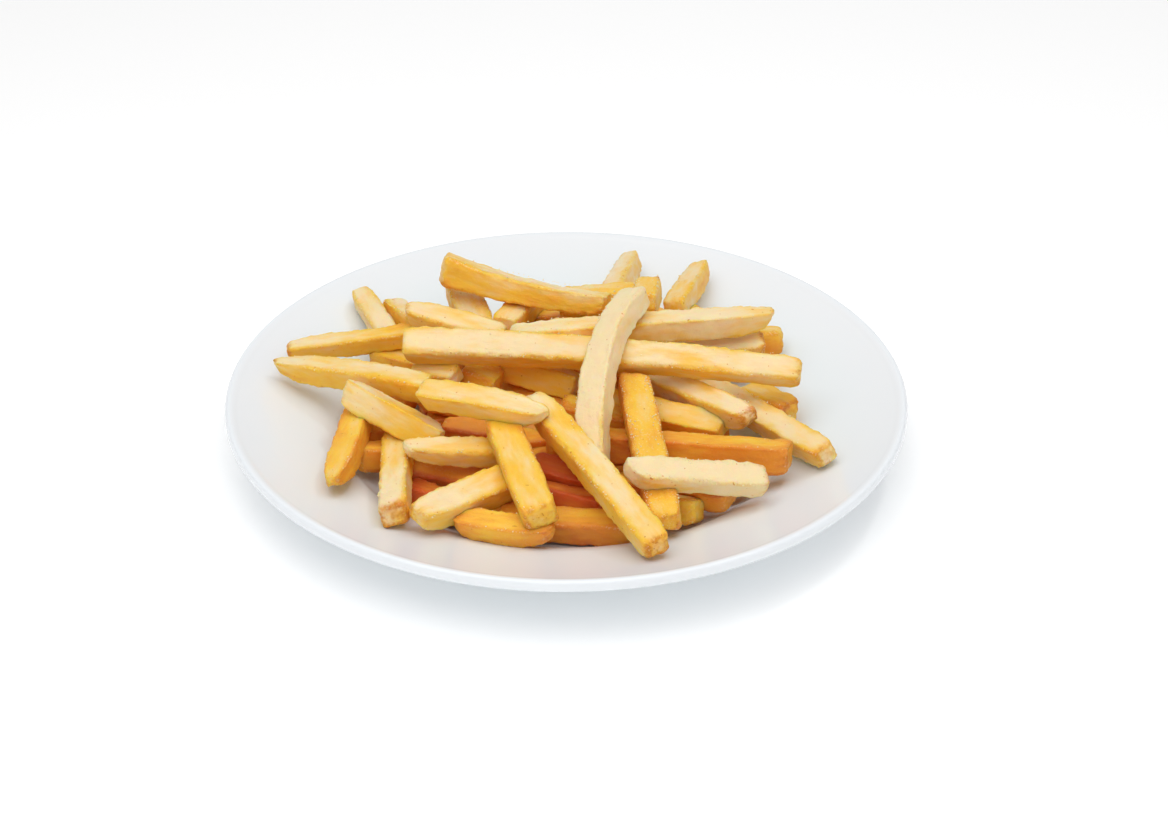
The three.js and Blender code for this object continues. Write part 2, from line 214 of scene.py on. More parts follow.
BACK_SLOPE = [
    fry(
        (-0.078, 0.07, 0.0255), (-0.064, 0.034, 0.025),
        section=(0.0085, 0.0075), roll=-8, cut=(0, 0), tips=(0.7, 1), tone=0.1, brown=(0.3, 0.2),
    ),
    fry(
        (-0.066, 0.062, 0.024), (-0.05, 0.035, 0.029),
        section=(0.0085, 0.008), roll=4, tips=(0.8, 1), tone=0.15, coarse=0.4,
    ),
    fry(
        (0.051, 0.088, 0.026), (0.039, 0.047, 0.031),
        section=(0.0094, 0.0086), roll=-15, cut=(0, 0), tips=(0.5, 1), tone=0.35, brown=(0.4, 0.2),
    ),
    fry(
        (0.025, 0.096, 0.026), (0.0175, 0.0515, 0.0355),
        section=(0.0094, 0.0086), roll=-25, tips=(0.3, 1), tone=0.2, brown=(0.4, 0.2),
    ),
    fry(
        (-0.04, 0.062, 0.0335), (-0.03, 0.024, 0.0295),
        section=(0.012, 0.009), roll=-3, tone=0, brown=(0.4, 0.4), coarse=0.7,
    ),
    fry((-0.012, 0.057, 0.031), (-0.023, 0.024, 0.036), tips=(0.9, 0.8), tone=0.15),
    fry((-0.003, 0.043, 0.036), (0.027, 0.046, 0.037), tone=0.5, coarse=0.6),
    fry(
        (0.03, 0.043, 0.0435), (0.0275, 0.024, 0.045),
        section=(0.0095, 0.009), roll=-6, tips=(0.9, 1), tone=0.4, brown=(0.8, 0.5), coarse=1,
    ),
    fry((-0.066, 0.041, 0.0195), (-0.02, 0.056, 0.015), roll=12, tips=(0.7, 1), tone=0.6),
    fry((-0.016, 0.072, 0.0127), (0.012, 0.066, 0.0115), roll=-15, tips=(0.7, 0.9), tone=0.5),
    fry((0.018, 0.07, 0.018), (0.056, 0.053, 0.015), roll=18, tips=(0.5, 1), tone=0.6),
    fry((0.006, 0.054, 0.018), (0.036, 0.0465, 0.0185), roll=-8, tips=(0.8, 0.6), tone=0.8),
    fry((-0.06, 0.056, 0.02), (-0.035, 0.052, 0.0245), roll=20, tips=(0.8, 1), tone=0.45),
    fry((0.048, 0.056, 0.024), (0.03, 0.033, 0.025), roll=-20, tips=(0.6, 1), tone=0.6),
    fry((-0.015, 0.048, 0.0245), (0.028, 0.047, 0.0275), roll=10, tips=(0.5, 1), tone=0.5),
]

TOP = [
    fry(
        (-0.058, 0.025, 0.042), (-0.022, 0.017, 0.037),
        section=(0.01, 0.009), roll=-15, cut=(-12, 20), tips=(0.4, 0.35), tone=0.2, brown=(0.6, 0.2),
    ),
    fry(
        (-0.049, -0.028, 0.0405), (-0.006, -0.045, 0.0405),
        section=(0.0096, 0.009), roll=-17, bend=(0, 0.001), cut=(0, 28), tips=(0.8, 0.3), tone=0.35,
    ),
    fry(
        (-0.02, 0.007, 0.042), (0.074, 0.0275, 0.038),
        section=(0.0094, 0.009), roll=-3, bend=(-0.003, 0.002), cut=(0, 22), tips=(0.35, 0.3),
        tone=0.05, brown=(0.2, 0.5),
    ),
    fry(
        (-0.057, 0.004, 0.041), (0.082, -0.007, 0.036),
        section=(0.011, 0.0098), taper=0.86, roll=-36, bend=(0, 0.002), cut=(0, 0), tips=(0.85, 0.8),
        tone=0.22, brown=(0.3, 0.7),
    ),
    fry(
        (-0.046, 0.05, 0.047), (0.015, 0.026, 0.045),
        section=(0.0108, 0.0114), taper=0.62, roll=18, bend=(0, -0.0025), cut=(-24, 10), tips=(0.95, 0.8),
        tone=0.4, brown=(0.4, 0.2),
    ),
    fry(
        (0.025, 0.019, 0.0525), (0.009, -0.051, 0.026),
        section=(0.0105, 0.0088), roll=-22, bend=(-0.005, 0.006), tips=(0.9, 1), tone=-0.35, coarse=0.6,
    ),
]


# ---- settings
LENGTH = {"unit": "LENGTH", "precision": 4}
COLOUR = {"subtype": "COLOR", "size": 3}


class PlateSizes(bpy.types.PropertyGroup):
    """Sizes of the plate's turned profile."""

    rim_radius: bpy.props.FloatProperty(
        name="Rim radius", description="Outer radius of the rim", default=PLATE_BOX[1].x, **LENGTH
    )
    rim_height: bpy.props.FloatProperty(
        name="Rim height", description="Top of the rim above the table", default=PLATE_BOX[1].z, **LENGTH
    )
    rim_thickness: bpy.props.FloatProperty(
        name="Rim thickness", description="Thickness of the rim's rounded edge", default=0.0044, **LENGTH
    )
    rim_round: bpy.props.FloatProperty(
        name="Rim rounding", description="How far in the edge is rounded", default=0.0024, **LENGTH
    )
    lip_radius: bpy.props.FloatProperty(
        name="Lip radius", description="Where the rim turns down into the well", default=0.085, **LENGTH
    )
    lip_height: bpy.props.FloatProperty(
        name="Lip height", description="Height of that turn", default=0.0152, **LENGTH
    )
    lip_round: bpy.props.FloatProperty(
        name="Lip rounding", description="Half width of that turn", default=0.004, **LENGTH
    )
    lip_drop: bpy.props.FloatProperty(
        name="Lip drop", description="Fall of the wall just inside the lip", default=0.0024, **LENGTH
    )
    wall: bpy.props.FloatProperty(
        name="Wall thickness", description="Thickness of the porcelain at the lip",
        default=0.0042, **LENGTH
    )
    floor_radius: bpy.props.FloatProperty(
        name="Floor radius", description="Flat part of the well", default=0.066, **LENGTH
    )
    floor_height: bpy.props.FloatProperty(
        name="Floor height", description="Height of the well's floor", default=0.0065, **LENGTH
    )
    floor_bend: bpy.props.FloatProperty(
        name="Floor bend", description="Where the wall's line would meet the floor",
        default=0.009, **LENGTH
    )
    foot_outer: bpy.props.FloatProperty(
        name="Foot outer radius", description="Outside of the foot ring", default=0.070, **LENGTH
    )
    foot_inner: bpy.props.FloatProperty(
        name="Foot inner radius", description="Inside of the foot ring", default=0.065, **LENGTH
    )
    foot_height: bpy.props.FloatProperty(
        name="Foot height", description="Depth of the hollow under the plate", default=0.003, **LENGTH
    )
    foot_draft: bpy.props.FloatProperty(
        name="Foot draft", description="Lean of the foot ring's sides", default=0.0007, **LENGTH
    )


class FrySizes(bpy.types.PropertyGroup):
    """Sizes that all the fries share."""

    width: bpy.props.FloatProperty(
        name="Width", description="Usual width of a fry", default=0.010, **LENGTH
    )
    height: bpy.props.FloatProperty(
        name="Height", description="Usual height of a fry", default=0.0095, **LENGTH
    )
    edge: bpy.props.FloatProperty(
        name="Edge radius", description="Rounding along the cut edges", default=0.0016, **LENGTH
    )
    seed: bpy.props.IntProperty(
        name="Seed", description="Picks the wobbles, the skins and the buried fries", default=7
    )


class FryColours(bpy.types.PropertyGroup):
    """Colours of the fried potato."""

    pale: bpy.props.FloatVectorProperty(
        name="Pale", description="Lightly fried faces", default=(0.92, 0.74, 0.44), **COLOUR
    )
    gold: bpy.props.FloatVectorProperty(
        name="Gold", description="Well fried faces", default=(0.95, 0.56, 0.06), **COLOUR
    )
    amber: bpy.props.FloatVectorProperty(
        name="Amber", description="Skin that other fries shade", default=(0.84, 0.35, 0.045), **COLOUR
    )
    # Deep paints the shade deep in the heap.
    deep: bpy.props.FloatVectorProperty(
        name="Deep", description="Oily skin deep in the heap", default=(0.64, 0.13, 0.03), **COLOUR
    )
    toast: bpy.props.FloatVectorProperty(
        name="Toast", description="Browned ends and edges", default=(0.62, 0.21, 0.015), **COLOUR
    )
    # Crumb is also the colour of the painted glints along the fries' edges.
    crumb: bpy.props.FloatVectorProperty(
        name="Crumb", description="Specks of starch and salt", default=(0.98, 0.84, 0.52), **COLOUR
    )


class StudioSettings(bpy.types.PropertyGroup):
    """The camera, the lights and the table."""

    aim: bpy.props.FloatVectorProperty(
        name="Aim", description="Point in the middle of the view",
        default=(0.00619, -0.02205, 0.026), unit="LENGTH", size=3, precision=5
    )
    distance: bpy.props.FloatProperty(
        name="Distance", description="From the camera to that point", default=0.9, unit="LENGTH"
    )
    elevation: bpy.props.FloatProperty(
        name="Elevation", description="Camera's angle above the table",
        default=math.radians(31.5), unit="ROTATION"
    )
    focal_length: bpy.props.FloatProperty(
        name="Focal length", description="In millimetres on a 36 mm sensor", default=80.15
    )
    key_power: bpy.props.FloatProperty(
        name="Key power", description="Overhead softbox, in watts", default=9.3
    )
    front_power: bpy.props.FloatProperty(
        name="Front power", description="Softbox behind the camera", default=2
    )
    spark_power: bpy.props.FloatProperty(
        name="Spark power", description="Small light for glints", default=1.2
    )
    fill: bpy.props.FloatProperty(name="Fill", description="Strength of the room's light", default=0.44)


# ---- materials
class Signal:
    """A shader value that takes part in Python arithmetic."""

    def __init__(self, recipe, socket):
        self.recipe = recipe
        self.socket = socket

    def _math(self, operation, first, second):
        return self.recipe.add("ShaderNodeMath", {"operation": operation}, {0: first, 1: second})

    def __add__(self, other):
        return self._math("ADD", self, other)

    def __radd__(self, other):
        return self._math("ADD", other, self)

    def __sub__(self, other):
        return self._math("SUBTRACT", self, other)

    def __rsub__(self, other):
        return self._math("SUBTRACT", other, self)

    def __mul__(self, other):
        return self._math("MULTIPLY", self, other)

    def __rmul__(self, other):
        return self._math("MULTIPLY", other, self)


class Recipe:
    """A material, built a node at a time."""

    def __init__(self, name):
        self.material = bpy.data.materials.new(name)
        self.material.use_nodes = True
        self.tree = self.material.node_tree
        self.tree.nodes.clear()

    def add(self, kind, settings=None, inputs=None, out=0):
        """Adds a node of that type with its settings, fills its sockets and returns one of its outputs."""
        node = self.tree.nodes.new(kind)
        for name, value in (settings or {}).items():
            setattr(node, name, value)
        for name, value in (inputs or {}).items():
            if isinstance(value, Signal):
                self.tree.links.new(value.socket, node.inputs[name])
            else:
                node.inputs[name].default_value = value
        return Signal(self, node.outputs[out])

    def blend(self, first, second, share):
        """Mixes two colours: the first where the share is 0, the second where it is 1."""
        return self.add("ShaderNodeMix", {"data_type": "RGBA"}, {0: share, 6: first, 7: second}, out=2)

    def ramp(self, value, low, high):
        """0 where the value is under low, 1 where it is over high, and smooth between."""
        settings = {"interpolation_type": "SMOOTHSTEP"}
        return self.add("ShaderNodeMapRange", settings, {"Value": value, "From Min": low, "From Max": high})

    def noise(self, place, size, detail=2.0, rough=0.5):
        """Soft noise with features of about that size."""
        inputs = {"Vector": place, "Scale": 1 / size, "Detail": detail, "Roughness": rough}
        return self.add("ShaderNodeTexNoise", {}, inputs)

    def finish(self, inputs):
        """Ends the material in a Principled shader."""
        surface = self.add("ShaderNodeBsdfPrincipled", {}, inputs)
        output = self.tree.nodes.new("ShaderNodeOutputMaterial")
        self.tree.links.new(surface.socket, output.inputs["Surface"])
        return self.material


def colour(rgb):
    """A colour with full alpha, as sockets take it."""
    return (*rgb, 1.0)


# Sizes of the marks on the crust, from its broad patches down to single flakes.
PATCH = 0.0075
STREAK = 0.0024
BLISTER = 0.0013
SPECK = 0.0011
FLAKE = 0.0007
DRAWN_OUT = (0.35, 1.0, 1.0)  # patches and streaks run along the fry

# How much the patches and streaks move the tone, and between which tones each colour comes in.
PATCHINESS = 2.2
STREAKINESS = 0.8
TO_GOLD = (-0.15, 1.0)
TO_AMBER = (0.85, 1.7)
TO_DEEP = (1.7, 2.9)

# The marks over those colours, toasting, dust, painted glints along the edges and burnt specks: between
# which levels each comes in, and how strong it gets.
TOASTING, TOASTED = (0.15, 0.9), 0.85
DUSTING, DUSTED = (0.6, 0.72), 0.3
PAINTED_GLINTING, PAINTED_GLINT = (1.05, 1.4), 0.32
BURNING, BURNT = (0.81, 0.87), 0.7


def make_fried_potato(colours):
    """Golden crust in pale and gold patches, amber and deep as painted shade where it is hidden, with
    toasted ends and painted glints along the edges.
    """
    r = Recipe("potato_crust")
    grain = r.add("ShaderNodeAttribute", {"attribute_name": "grain"}, out="Vector")
    look = r.add("ShaderNodeAttribute", {"attribute_name": "look"}, out="Color")
    tone = r.add("ShaderNodeSeparateColor", {}, {"Color": look})
    brown = Signal(r, tone.socket.node.outputs["Green"])
    coarse = Signal(r, tone.socket.node.outputs["Blue"])
    edge = Signal(r, look.socket.node.outputs["Alpha"])

    drawn_out = r.add("ShaderNodeVectorMath", {"operation": "MULTIPLY"}, {0: grain, 1: DRAWN_OUT})
    patch = r.noise(drawn_out, PATCH, 3.0)
    streak = r.noise(drawn_out, STREAK, 3.0)
    blister = r.noise(grain, BLISTER, 4.0, 0.6)
    speck = r.noise(grain, SPECK, 0.0)
    flake = r.noise(grain, FLAKE, 1.0)

    shade = tone + (patch - 0.5) * PATCHINESS + (streak - 0.5) * STREAKINESS
    # Amber and deep show the painted shade in the tone; amber is also the colour of fries fried darker.
    depth = r.ramp(shade, *TO_DEEP)
    skin = r.blend(colour(colours.pale), colour(colours.gold), r.ramp(shade, *TO_GOLD))
    skin = r.blend(skin, colour(colours.amber), r.ramp(shade, *TO_AMBER))
    skin = r.blend(skin, colour(colours.deep), depth)
    toasting = r.ramp(brown * (0.2 + 1.6 * blister) + 0.9 * (streak - 0.5), *TOASTING)
    skin = r.blend(skin, colour(colours.toast), toasting * TOASTED)
    dusting = r.ramp(flake + 0.3 * (streak - 0.5), *DUSTING) * DUSTED * coarse
    # Painted glints: crumb-coloured highlights along the edges, left out where the painted shade is deep.
    painted_glints = r.ramp(edge + 1.6 * (streak - 0.5) + 1.6 * (flake - 0.5), *PAINTED_GLINTING) * PAINTED_GLINT
    skin = r.blend(skin, colour(colours.crumb), (dusting + painted_glints) * (1 - depth))
    burning = r.ramp(speck + 0.22 * brown, *BURNING) * BURNT
    skin = r.blend(skin, colour(colours.toast), burning)

    relief = patch * 0.6 + streak * 0.7 + blister * (0.15 + 0.6 * coarse + 0.9 * edge)
    bump = r.add("ShaderNodeBump", {}, {"Strength": 0.9, "Distance": 0.0006, "Height": relief})
    return r.finish(
        {
            "Base Color": skin,
            "Roughness": 0.2 + 0.3 * streak,
            "Normal": bump,
            "IOR": 1.4,
            "Specular IOR Level": 0.35,
            "Subsurface Weight": 0.8,
            "Subsurface Radius": (1.0, 0.5, 0.15),
            "Subsurface Scale": 0.004,
        }
    )


CRUMB_PATCH = 0.002  # over this length the specks go from one colour to the other


def make_crumb(colours):
    """Pale specks of starch and salt."""
    r = Recipe("crumb")
    place = r.add("ShaderNodeTexCoord", {}, out="Object")
    body = r.blend(colour(colours.crumb), colour(colours.pale), r.noise(place, CRUMB_PATCH))
    soft = {"Subsurface Weight": 0.2, "Subsurface Scale": 0.001}
    return r.finish({"Base Color": body, "Roughness": 0.45, **soft})


WHITES = (0.87, 0.905, 0.935), (0.88, 0.91, 0.94)  # the glaze outside the well drifts between these
# Painted cooler in the well, against the warm light that the fries throw onto it.
PAINTED_COOL_WELL = (0.83, 0.91, 0.95)
BARE_CLAY = (0.80, 0.78, 0.73)
BARE_TO = (0.0003, 0.0006)  # heights between which the bare foot gives way to glaze
DRIFT = 0.05  # size of the drifts of colour
WAVE = 0.018  # size of the waves in the gloss


def make_porcelain(sizes):
    """Glossy white glaze, painted cooler in the well against the warm light that the fries throw onto it,
    and bare on the foot ring.
    """
    r = Recipe("glaze")
    place = r.add("ShaderNodeTexCoord", {}, out="Object")
    height = r.add("ShaderNodeSeparateXYZ", {}, {0: place}, out="Z")
    bare = 1 - r.ramp(height, *BARE_TO)
    flat = r.add("ShaderNodeVectorMath", {"operation": "MULTIPLY"}, {0: place, 1: (1.0, 1.0, 0.0)})
    radius = r.add("ShaderNodeVectorMath", {"operation": "LENGTH"}, {0: flat}, out="Value")
    outside_well = r.ramp(radius, sizes.lip_radius, sizes.rim_radius - sizes.lip_round)
    white = r.blend(colour(WHITES[0]), colour(WHITES[1]), r.noise(place, DRIFT))
    glaze = r.blend(colour(PAINTED_COOL_WELL), white, outside_well)
    body = r.blend(glaze, colour(BARE_CLAY), bare)
    waves = r.noise(place, WAVE, 1.0)
    bump = r.add("ShaderNodeBump", {}, {"Strength": 0.05, "Distance": 0.0004, "Height": waves})
    return r.finish(
        {
            "Base Color": body,
            "Roughness": 0.22 + 0.5 * bare,
            "Normal": bump,
            "IOR": 1.5,
            "Coat Weight": 0.15 * (1 - bare),
            "Coat Roughness": 0.06,
        }
    )


def make_table():
    """Plain matt white, lifted a little so that its shadows stay soft."""
    r = Recipe("table")
    white = colour((0.97, 0.97, 0.97))
    return r.finish(
        {
            "Base Color": white,
            "Roughness": 0.9,
            "Specular IOR Level": 0.0,
            "Emission Color": white,
            "Emission Strength": 0.12,
        }
    )


# ---- making and placing
def add_piece(name, mesh, material):
    """Shows a mesh as a finished piece, with smooth faces and its material."""
    mesh.materials.append(material)
    mesh.shade_smooth()
    piece = bpy.data.objects.new(name, mesh)
    bpy.context.scene.collection.objects.link(piece)
    return piece


def mesh_from(bm, name):
    """Turns a bmesh into a mesh and frees it."""
    mesh = bpy.data.meshes.new(name)
    bm.to_mesh(mesh)
    bm.free()
    return mesh


def describe(mesh, skin, look):
    """Stores skin coordinates and look on a mesh's points, where the crust reads them."""
    mesh.attributes.new("grain", "FLOAT_VECTOR", "POINT").data.foreach_set("vector", skin.ravel())
    mesh.attributes.new("look", "FLOAT_COLOR", "POINT").data.foreach_set("color", look.ravel())


# ---- plate
TURNS = 144  # steps of the plate's spin
SAME_POINT = 1e-6


def at(radius, height):
    """A point of the plate's half section."""
    return Vector((radius, height))


def bent(start, control, end, steps=7):
    """Points of a smooth turn from start to end, without start."""
    shares = [i / steps for i in range(1, steps + 1)]
    return [start * (1 - t) ** 2 + control * (2 * t * (1 - t)) + end * t**2 for t in shares]


def plate_profile(s):
    """The plate's half section, from the middle of its underside round the rim to the middle of the well."""
    soft = s.foot_draft
    points = [at(0, s.foot_height), at(s.foot_inner - 3 * soft, s.foot_height)]
    points += bent(points[-1], at(s.foot_inner - soft, s.foot_height), at(s.foot_inner, soft), 4)
    points += bent(points[-1], at(s.foot_inner, 0), at(s.foot_inner + soft, 0), 3)
    points += bent(at(s.foot_outer - soft, 0), at(s.foot_outer, 0), at(s.foot_outer, soft), 3)
    points += [at(s.foot_outer + soft, s.foot_height)]

    heel = at(s.lip_radius - s.lip_round, s.floor_height)
    points += bent(points[-1], heel, at(s.lip_radius, s.lip_height - s.wall), 10)
    under = s.rim_height - s.rim_thickness
    points += [at(s.rim_radius - s.rim_round, under)]
    points += bent(points[-1], at(s.rim_radius, under), at(s.rim_radius, under + s.rim_thickness / 2))
    crest = at(s.rim_radius - s.rim_round / 2, s.rim_height)
    points += bent(points[-1], at(s.rim_radius, s.rim_height), crest)

    slope = (s.rim_height - s.lip_height) / (s.rim_radius - s.lip_radius)
    rim_start = at(s.rim_radius - 2 * s.rim_round, s.rim_height - 2 * s.rim_round * slope)
    points += bent(crest, at(s.rim_radius - s.rim_round, s.rim_height), rim_start, 4)
    points += [at(s.lip_radius + s.lip_round, s.lip_height + s.lip_round * slope)]
    wall_top = at(s.lip_radius - s.lip_round, s.lip_height - s.lip_drop)
    points += bent(points[-1], at(s.lip_radius, s.lip_height), wall_top, 8)
    wall_foot = at(s.floor_radius + s.floor_bend, s.floor_height)
    points += bent(points[-1], wall_foot, at(s.floor_radius, s.floor_height), 12)
    return points + [at(s.floor_radius / 2, s.floor_height), at(0, s.floor_height)]


def make_plate(sizes):
    """Spins the half section round the vertical axis."""
    bm = bmesh.new()
    verts = [bm.verts.new((p.x, 0, p.y)) for p in plate_profile(sizes)]
    edges = [bm.edges.new(pair) for pair in zip(verts, verts[1:])]
    bmesh.ops.spin(
        bm, geom=verts + edges, cent=(0, 0, 0), axis=(0, 0, 1), angle=math.tau, steps=TURNS, use_merge=True
    )
    bmesh.ops.remove_doubles(bm, verts=bm.verts, dist=SAME_POINT)
    bmesh.ops.recalc_face_normals(bm, faces=bm.faces)
    return mesh_from(bm, "plate_glazed")


# ---- fries
TIP_REACH = 0.004  # length over which even a blunt end closes in
TIP_TAPER = 0.024  # further length over which a pointed end closes in
TIP_RISE = 0.8  # how far a closing end moves towards the upper face, as a share of what it loses
END_ROUND = 0.003  # rounding where the sides meet the end
END_ZONE = 0.005  # length over which an end is ragged
CUT_ZONE = 0.012  # length over which a slanted cut shears the end
CUT_SPREAD = 12  # degrees that a cut is out of square where nothing is given
EDGE_SPREAD = (0.6, 1.5)  # the four long edges aren't rounded alike
EDGE_LIMIT = 0.9  # most rounding, as a share of the half section
CROWDED = 0.45  # how much the grid lines gather at the edges
SKEW = 0.08  # how far a section leans out of square
TWIST = 5  # degrees
TOAST_REACH = 0.006  # length of a browned end
AXIS_STEP = 0.004  # spacing of the points that stand for a fry's axis
LEAST_CUTS = 3  # along a fry

# Unevenness of each kind: how strong it is, and how long its waves are.
WAVES = (0.045, 0.024)  # of the width and height, as a share of them
RIPPLES = (0.025, 0.009)  # of the same
WANDER = (0.0004, 0.03)  # of the axis
SWELLS = (0.00036, 0.0075)  # of the skin
DENTS = (0.00022, 0.0032)
BLISTERS = (0.00016, 0.0016)  # more on a coarse skin
CHIPS = (0.00038, 0.0034)  # of its edges
NICKS = (0.0005, 0.0017)
RAGS = (0.0007, 0.0024)  # of its ends
NOISE_STEPS = (1.37, 2.11, 0.73)  # from one seed's place in the noise to the next
LINE_STEP = 0.31  # from the line along which one fry reads it to the next
SKIN_SPREAD = 3  # how far apart in it the fries take their skins
SEED_STEP = 100  # leaves room for the numbers of the fries

# How much each part of a fry is deeper in tone, and how brown its edges and ends get. The paler top is
# painted light and the deeper sides and underside are painted shade; the browned edges and ends are the
# crust's own.
TOP_PAINTED_LIGHT = -0.05
UNDERSIDE_PAINTED_SHADE = 0.1
SIDE_PAINTED_SHADE = 0.35
BROWN_TONE = 0.7
EDGE_TONE = 0.25
EDGE_BROWN = 0.12
END_BROWN = (0.45, 0.55)  # over the whole end, and round its rim


def make_block(length_cuts, section_cuts):
    """A box from -1 to 1 each way, cut into a grid."""
    bm = bmesh.new()
    bmesh.ops.create_cube(bm, size=2)
    for axis, cuts in enumerate((length_cuts, section_cuts, section_cuts)):
        along = [e for e in bm.edges if abs((e.verts[0].co - e.verts[1].co)[axis]) > SAME_POINT]
        bmesh.ops.subdivide_edges(bm, edges=along, cuts=cuts, use_grid_fill=True)
    return bm


def length_of(row):
    """Length of a fry, from end to end."""
    return (row["end"] - row["start"]).length


def section_of(row, sizes):
    """Width and height of a fry."""
    return row["section"] or (sizes.width, sizes.height)


def uneven(places, kind, seed, share=1):
    """Unevenness of one kind at each of the places, either way from 0."""
    height, size = kind
    shift = Vector([seed * step for step in NOISE_STEPS])
    return share * height * np.array([noise.noise(Vector(p) / size + shift) for p in places])


def fade(values, low, high):
    """0 at low, 1 at high and straight between, for arrays."""
    return np.clip((values - low) / (high - low), 0, 1)


def closing(distance, tip):
    """How far the section has closed in at a distance from an end with that tip."""
    reach = TIP_REACH + (1 - tip) * TIP_TAPER
    rest = np.clip(1 - distance / reach, 0, 1)
    return tip + (1 - tip) * np.sqrt(1 - rest**2)


def crowd(grid):
    """Moves grid lines on -1 to 1 towards the ends, where the edges are rounded."""
    return (1 - CROWDED) * grid + CROWDED * np.sin(grid * math.pi / 2)


def round_off(grid, half, edge, draw):
    """Rounds a box, each of its four long edges its own way. Returns its points and outward directions."""
    box = np.stack([grid[:, 0], crowd(grid[:, 1]), crowd(grid[:, 2])], axis=1) * half
    corner = np.where(grid[:, 1] > 0, 1, 0) + np.where(grid[:, 2] > 0, 2, 0)
    radii = np.array([edge * draw.uniform(*EDGE_SPREAD) for _ in range(4)])[corner]
    radii = np.minimum(radii, EDGE_LIMIT * min(half[1:]))
    margin = np.stack([np.full_like(radii, END_ROUND), radii, radii], axis=1)
    inner = np.clip(box, margin - half, half - margin)
    out = (box - inner) / margin
    out /= np.maximum(np.linalg.norm(out, axis=1, keepdims=True), 1e-9)
    return inner + margin * out, out


def cut_ends(points, half, cut, draw):
    """Distances along the fry once each end is cut askew."""
    turns = cut or [draw.uniform(-CUT_SPREAD, CUT_SPREAD) for _ in range(2)]
    leans = [draw.uniform(-CUT_SPREAD, CUT_SPREAD) for _ in range(2)]
    shears = [math.tan(math.radians(turn)) * points[:, 1] for turn in turns]
    tilts = [math.tan(math.radians(lean)) * points[:, 2] for lean in leans]
    near = fade(half[0] - np.abs(points[:, 0]), CUT_ZONE, 0)
    at_start = points[:, 0] < 0
    return points[:, 0] + half[0] + near * np.where(at_start, shears[0] + tilts[0], shears[1] + tilts[1])


def skin_relief(skin, near, corner, coarse):
    """How far the skin stands up or sinks: soft swells, blisters, nicked edges and ragged ends."""
    lift = uneven(skin, SWELLS, 1) + uneven(skin, DENTS, 5)
    lift += uneven(skin, BLISTERS, 9, 0.15 + coarse)
    lift += corner * (uneven(skin, CHIPS, 17) + uneven(skin, NICKS, 21))
    return lift + uneven(skin, RAGS, 13, near**2)


def bow_of(row):
    """How far the middle of a fry's axis stands off the straight line between its ends."""
    span = row["end"] - row["start"]
    left = Vector((-span.y, span.x, 0)).normalized()
    return left * row["bend"][0] + Vector((0, 0, row["bend"][1]))


def axis_points(row):
    """Points along a fry's bent axis."""
    span, bow = row["end"] - row["start"], bow_of(row)
    count = max(2, round(span.length / AXIS_STEP))
    shares = [i / count for i in range(count + 1)]
    return np.array([row["start"] + span * t + bow * (4 * t * (1 - t)) for t in shares])


def lay_along(row, t, aside, upwards, twist):
    """Places points at shares t of a fry's axis, aside and upwards from it."""
    span, bow = np.array(row["end"] - row["start"]), np.array(bow_of(row))
    ahead = span + bow * (4 * (1 - 2 * t))[:, None]
    ahead /= np.linalg.norm(ahead, axis=1, keepdims=True)
    across = np.cross([0.0, 0.0, 1.0], ahead)
    across /= np.linalg.norm(across, axis=1, keepdims=True)
    above = np.cross(ahead, across)
    turn = math.radians(row["roll"]) + math.radians(twist) * (t - 0.5)
    axis = np.array(row["start"]) + span * t[:, None] + bow * (4 * t * (1 - t))[:, None]
    axis += across * (aside * np.cos(turn) + upwards * np.sin(turn))[:, None]
    return axis + above * (upwards * np.cos(turn) - aside * np.sin(turn))[:, None]


def lay_fry(grid, row, sizes, seed):
    """Turns a gridded box into one fry. Returns its points, its skin coordinates and its look."""
    draw = random.Random(seed)
    length = length_of(row)
    half = np.array([length, *section_of(row, sizes)]) / 2
    points, out = round_off(grid, half, sizes.edge, draw)
    s = cut_ends(points, half, row["cut"], draw)
    near = fade(half[0] - np.abs(points[:, 0]), END_ZONE, 0)
    skin = np.stack([s, points[:, 1], points[:, 2]], axis=1)
    skin += [draw.uniform(0, SKIN_SPREAD) for _ in range(3)]
    corner = 2 * np.abs(out[:, 1] * out[:, 2])

    line = np.stack([s, np.full_like(s, seed * LINE_STEP), np.full_like(s, 0.5)], axis=1)
    size = np.minimum(closing(s, row["tips"][0]), closing(length - s, row["tips"][1]))
    thick = size * (1 + (row["taper"] - 1) * s / length)
    wide = thick * (1 + uneven(line, WAVES, seed) + uneven(line, RIPPLES, seed + 3))
    tall = thick * (1 + uneven(line, WAVES, seed + 6) + uneven(line, RIPPLES, seed + 9))
    lift = skin_relief(skin, near, corner, row["coarse"])
    upwards = points[:, 2] * tall + out[:, 2] * lift + TIP_RISE * (1 - size) * half[2]
    lean = draw.uniform(-SKEW, SKEW) * points[:, 2] * tall
    aside = points[:, 1] * wide + out[:, 1] * lift + lean + uneven(line, WANDER, seed + 11)
    s = s + out[:, 0] * lift
    placed = lay_along(row, np.clip(s / length, 0, 1), aside, upwards, draw.uniform(-TWIST, TWIST))
    return placed, skin, look_of(row, s, length, out, corner, points[:, 1] / half[1], points[:, 2] / half[2])


def look_of(row, s, length, out, corner, across, height):
    """Tone, browning, coarseness and edges: paler above as painted light, deeper to the sides and underside
    as painted shade, browned at the ends and thinly along the edges.
    """
    head = fade(s, TOAST_REACH, 0) ** 2 * row["brown"][0]
    tail = fade(length - s, TOAST_REACH, 0) ** 2 * row["brown"][1]
    rim = np.maximum(corner, 2 * np.abs(out[:, 0]) * np.sqrt(1 - np.minimum(out[:, 0] ** 2, 1)))
    brown = EDGE_BROWN * corner + (head + tail) * (END_BROWN[0] + END_BROWN[1] * rim)
    # Painted light and shade: paler on top, deeper towards the underside and the sides.
    tone = row["tone"] + TOP_PAINTED_LIGHT + UNDERSIDE_PAINTED_SHADE * (1 - height) + SIDE_PAINTED_SHADE * np.abs(across) ** 3
    tone = tone + BROWN_TONE * brown + EDGE_TONE * corner
    return np.stack([tone, np.clip(brown, 0, 1), np.full_like(s, row["coarse"]), rim], axis=1)
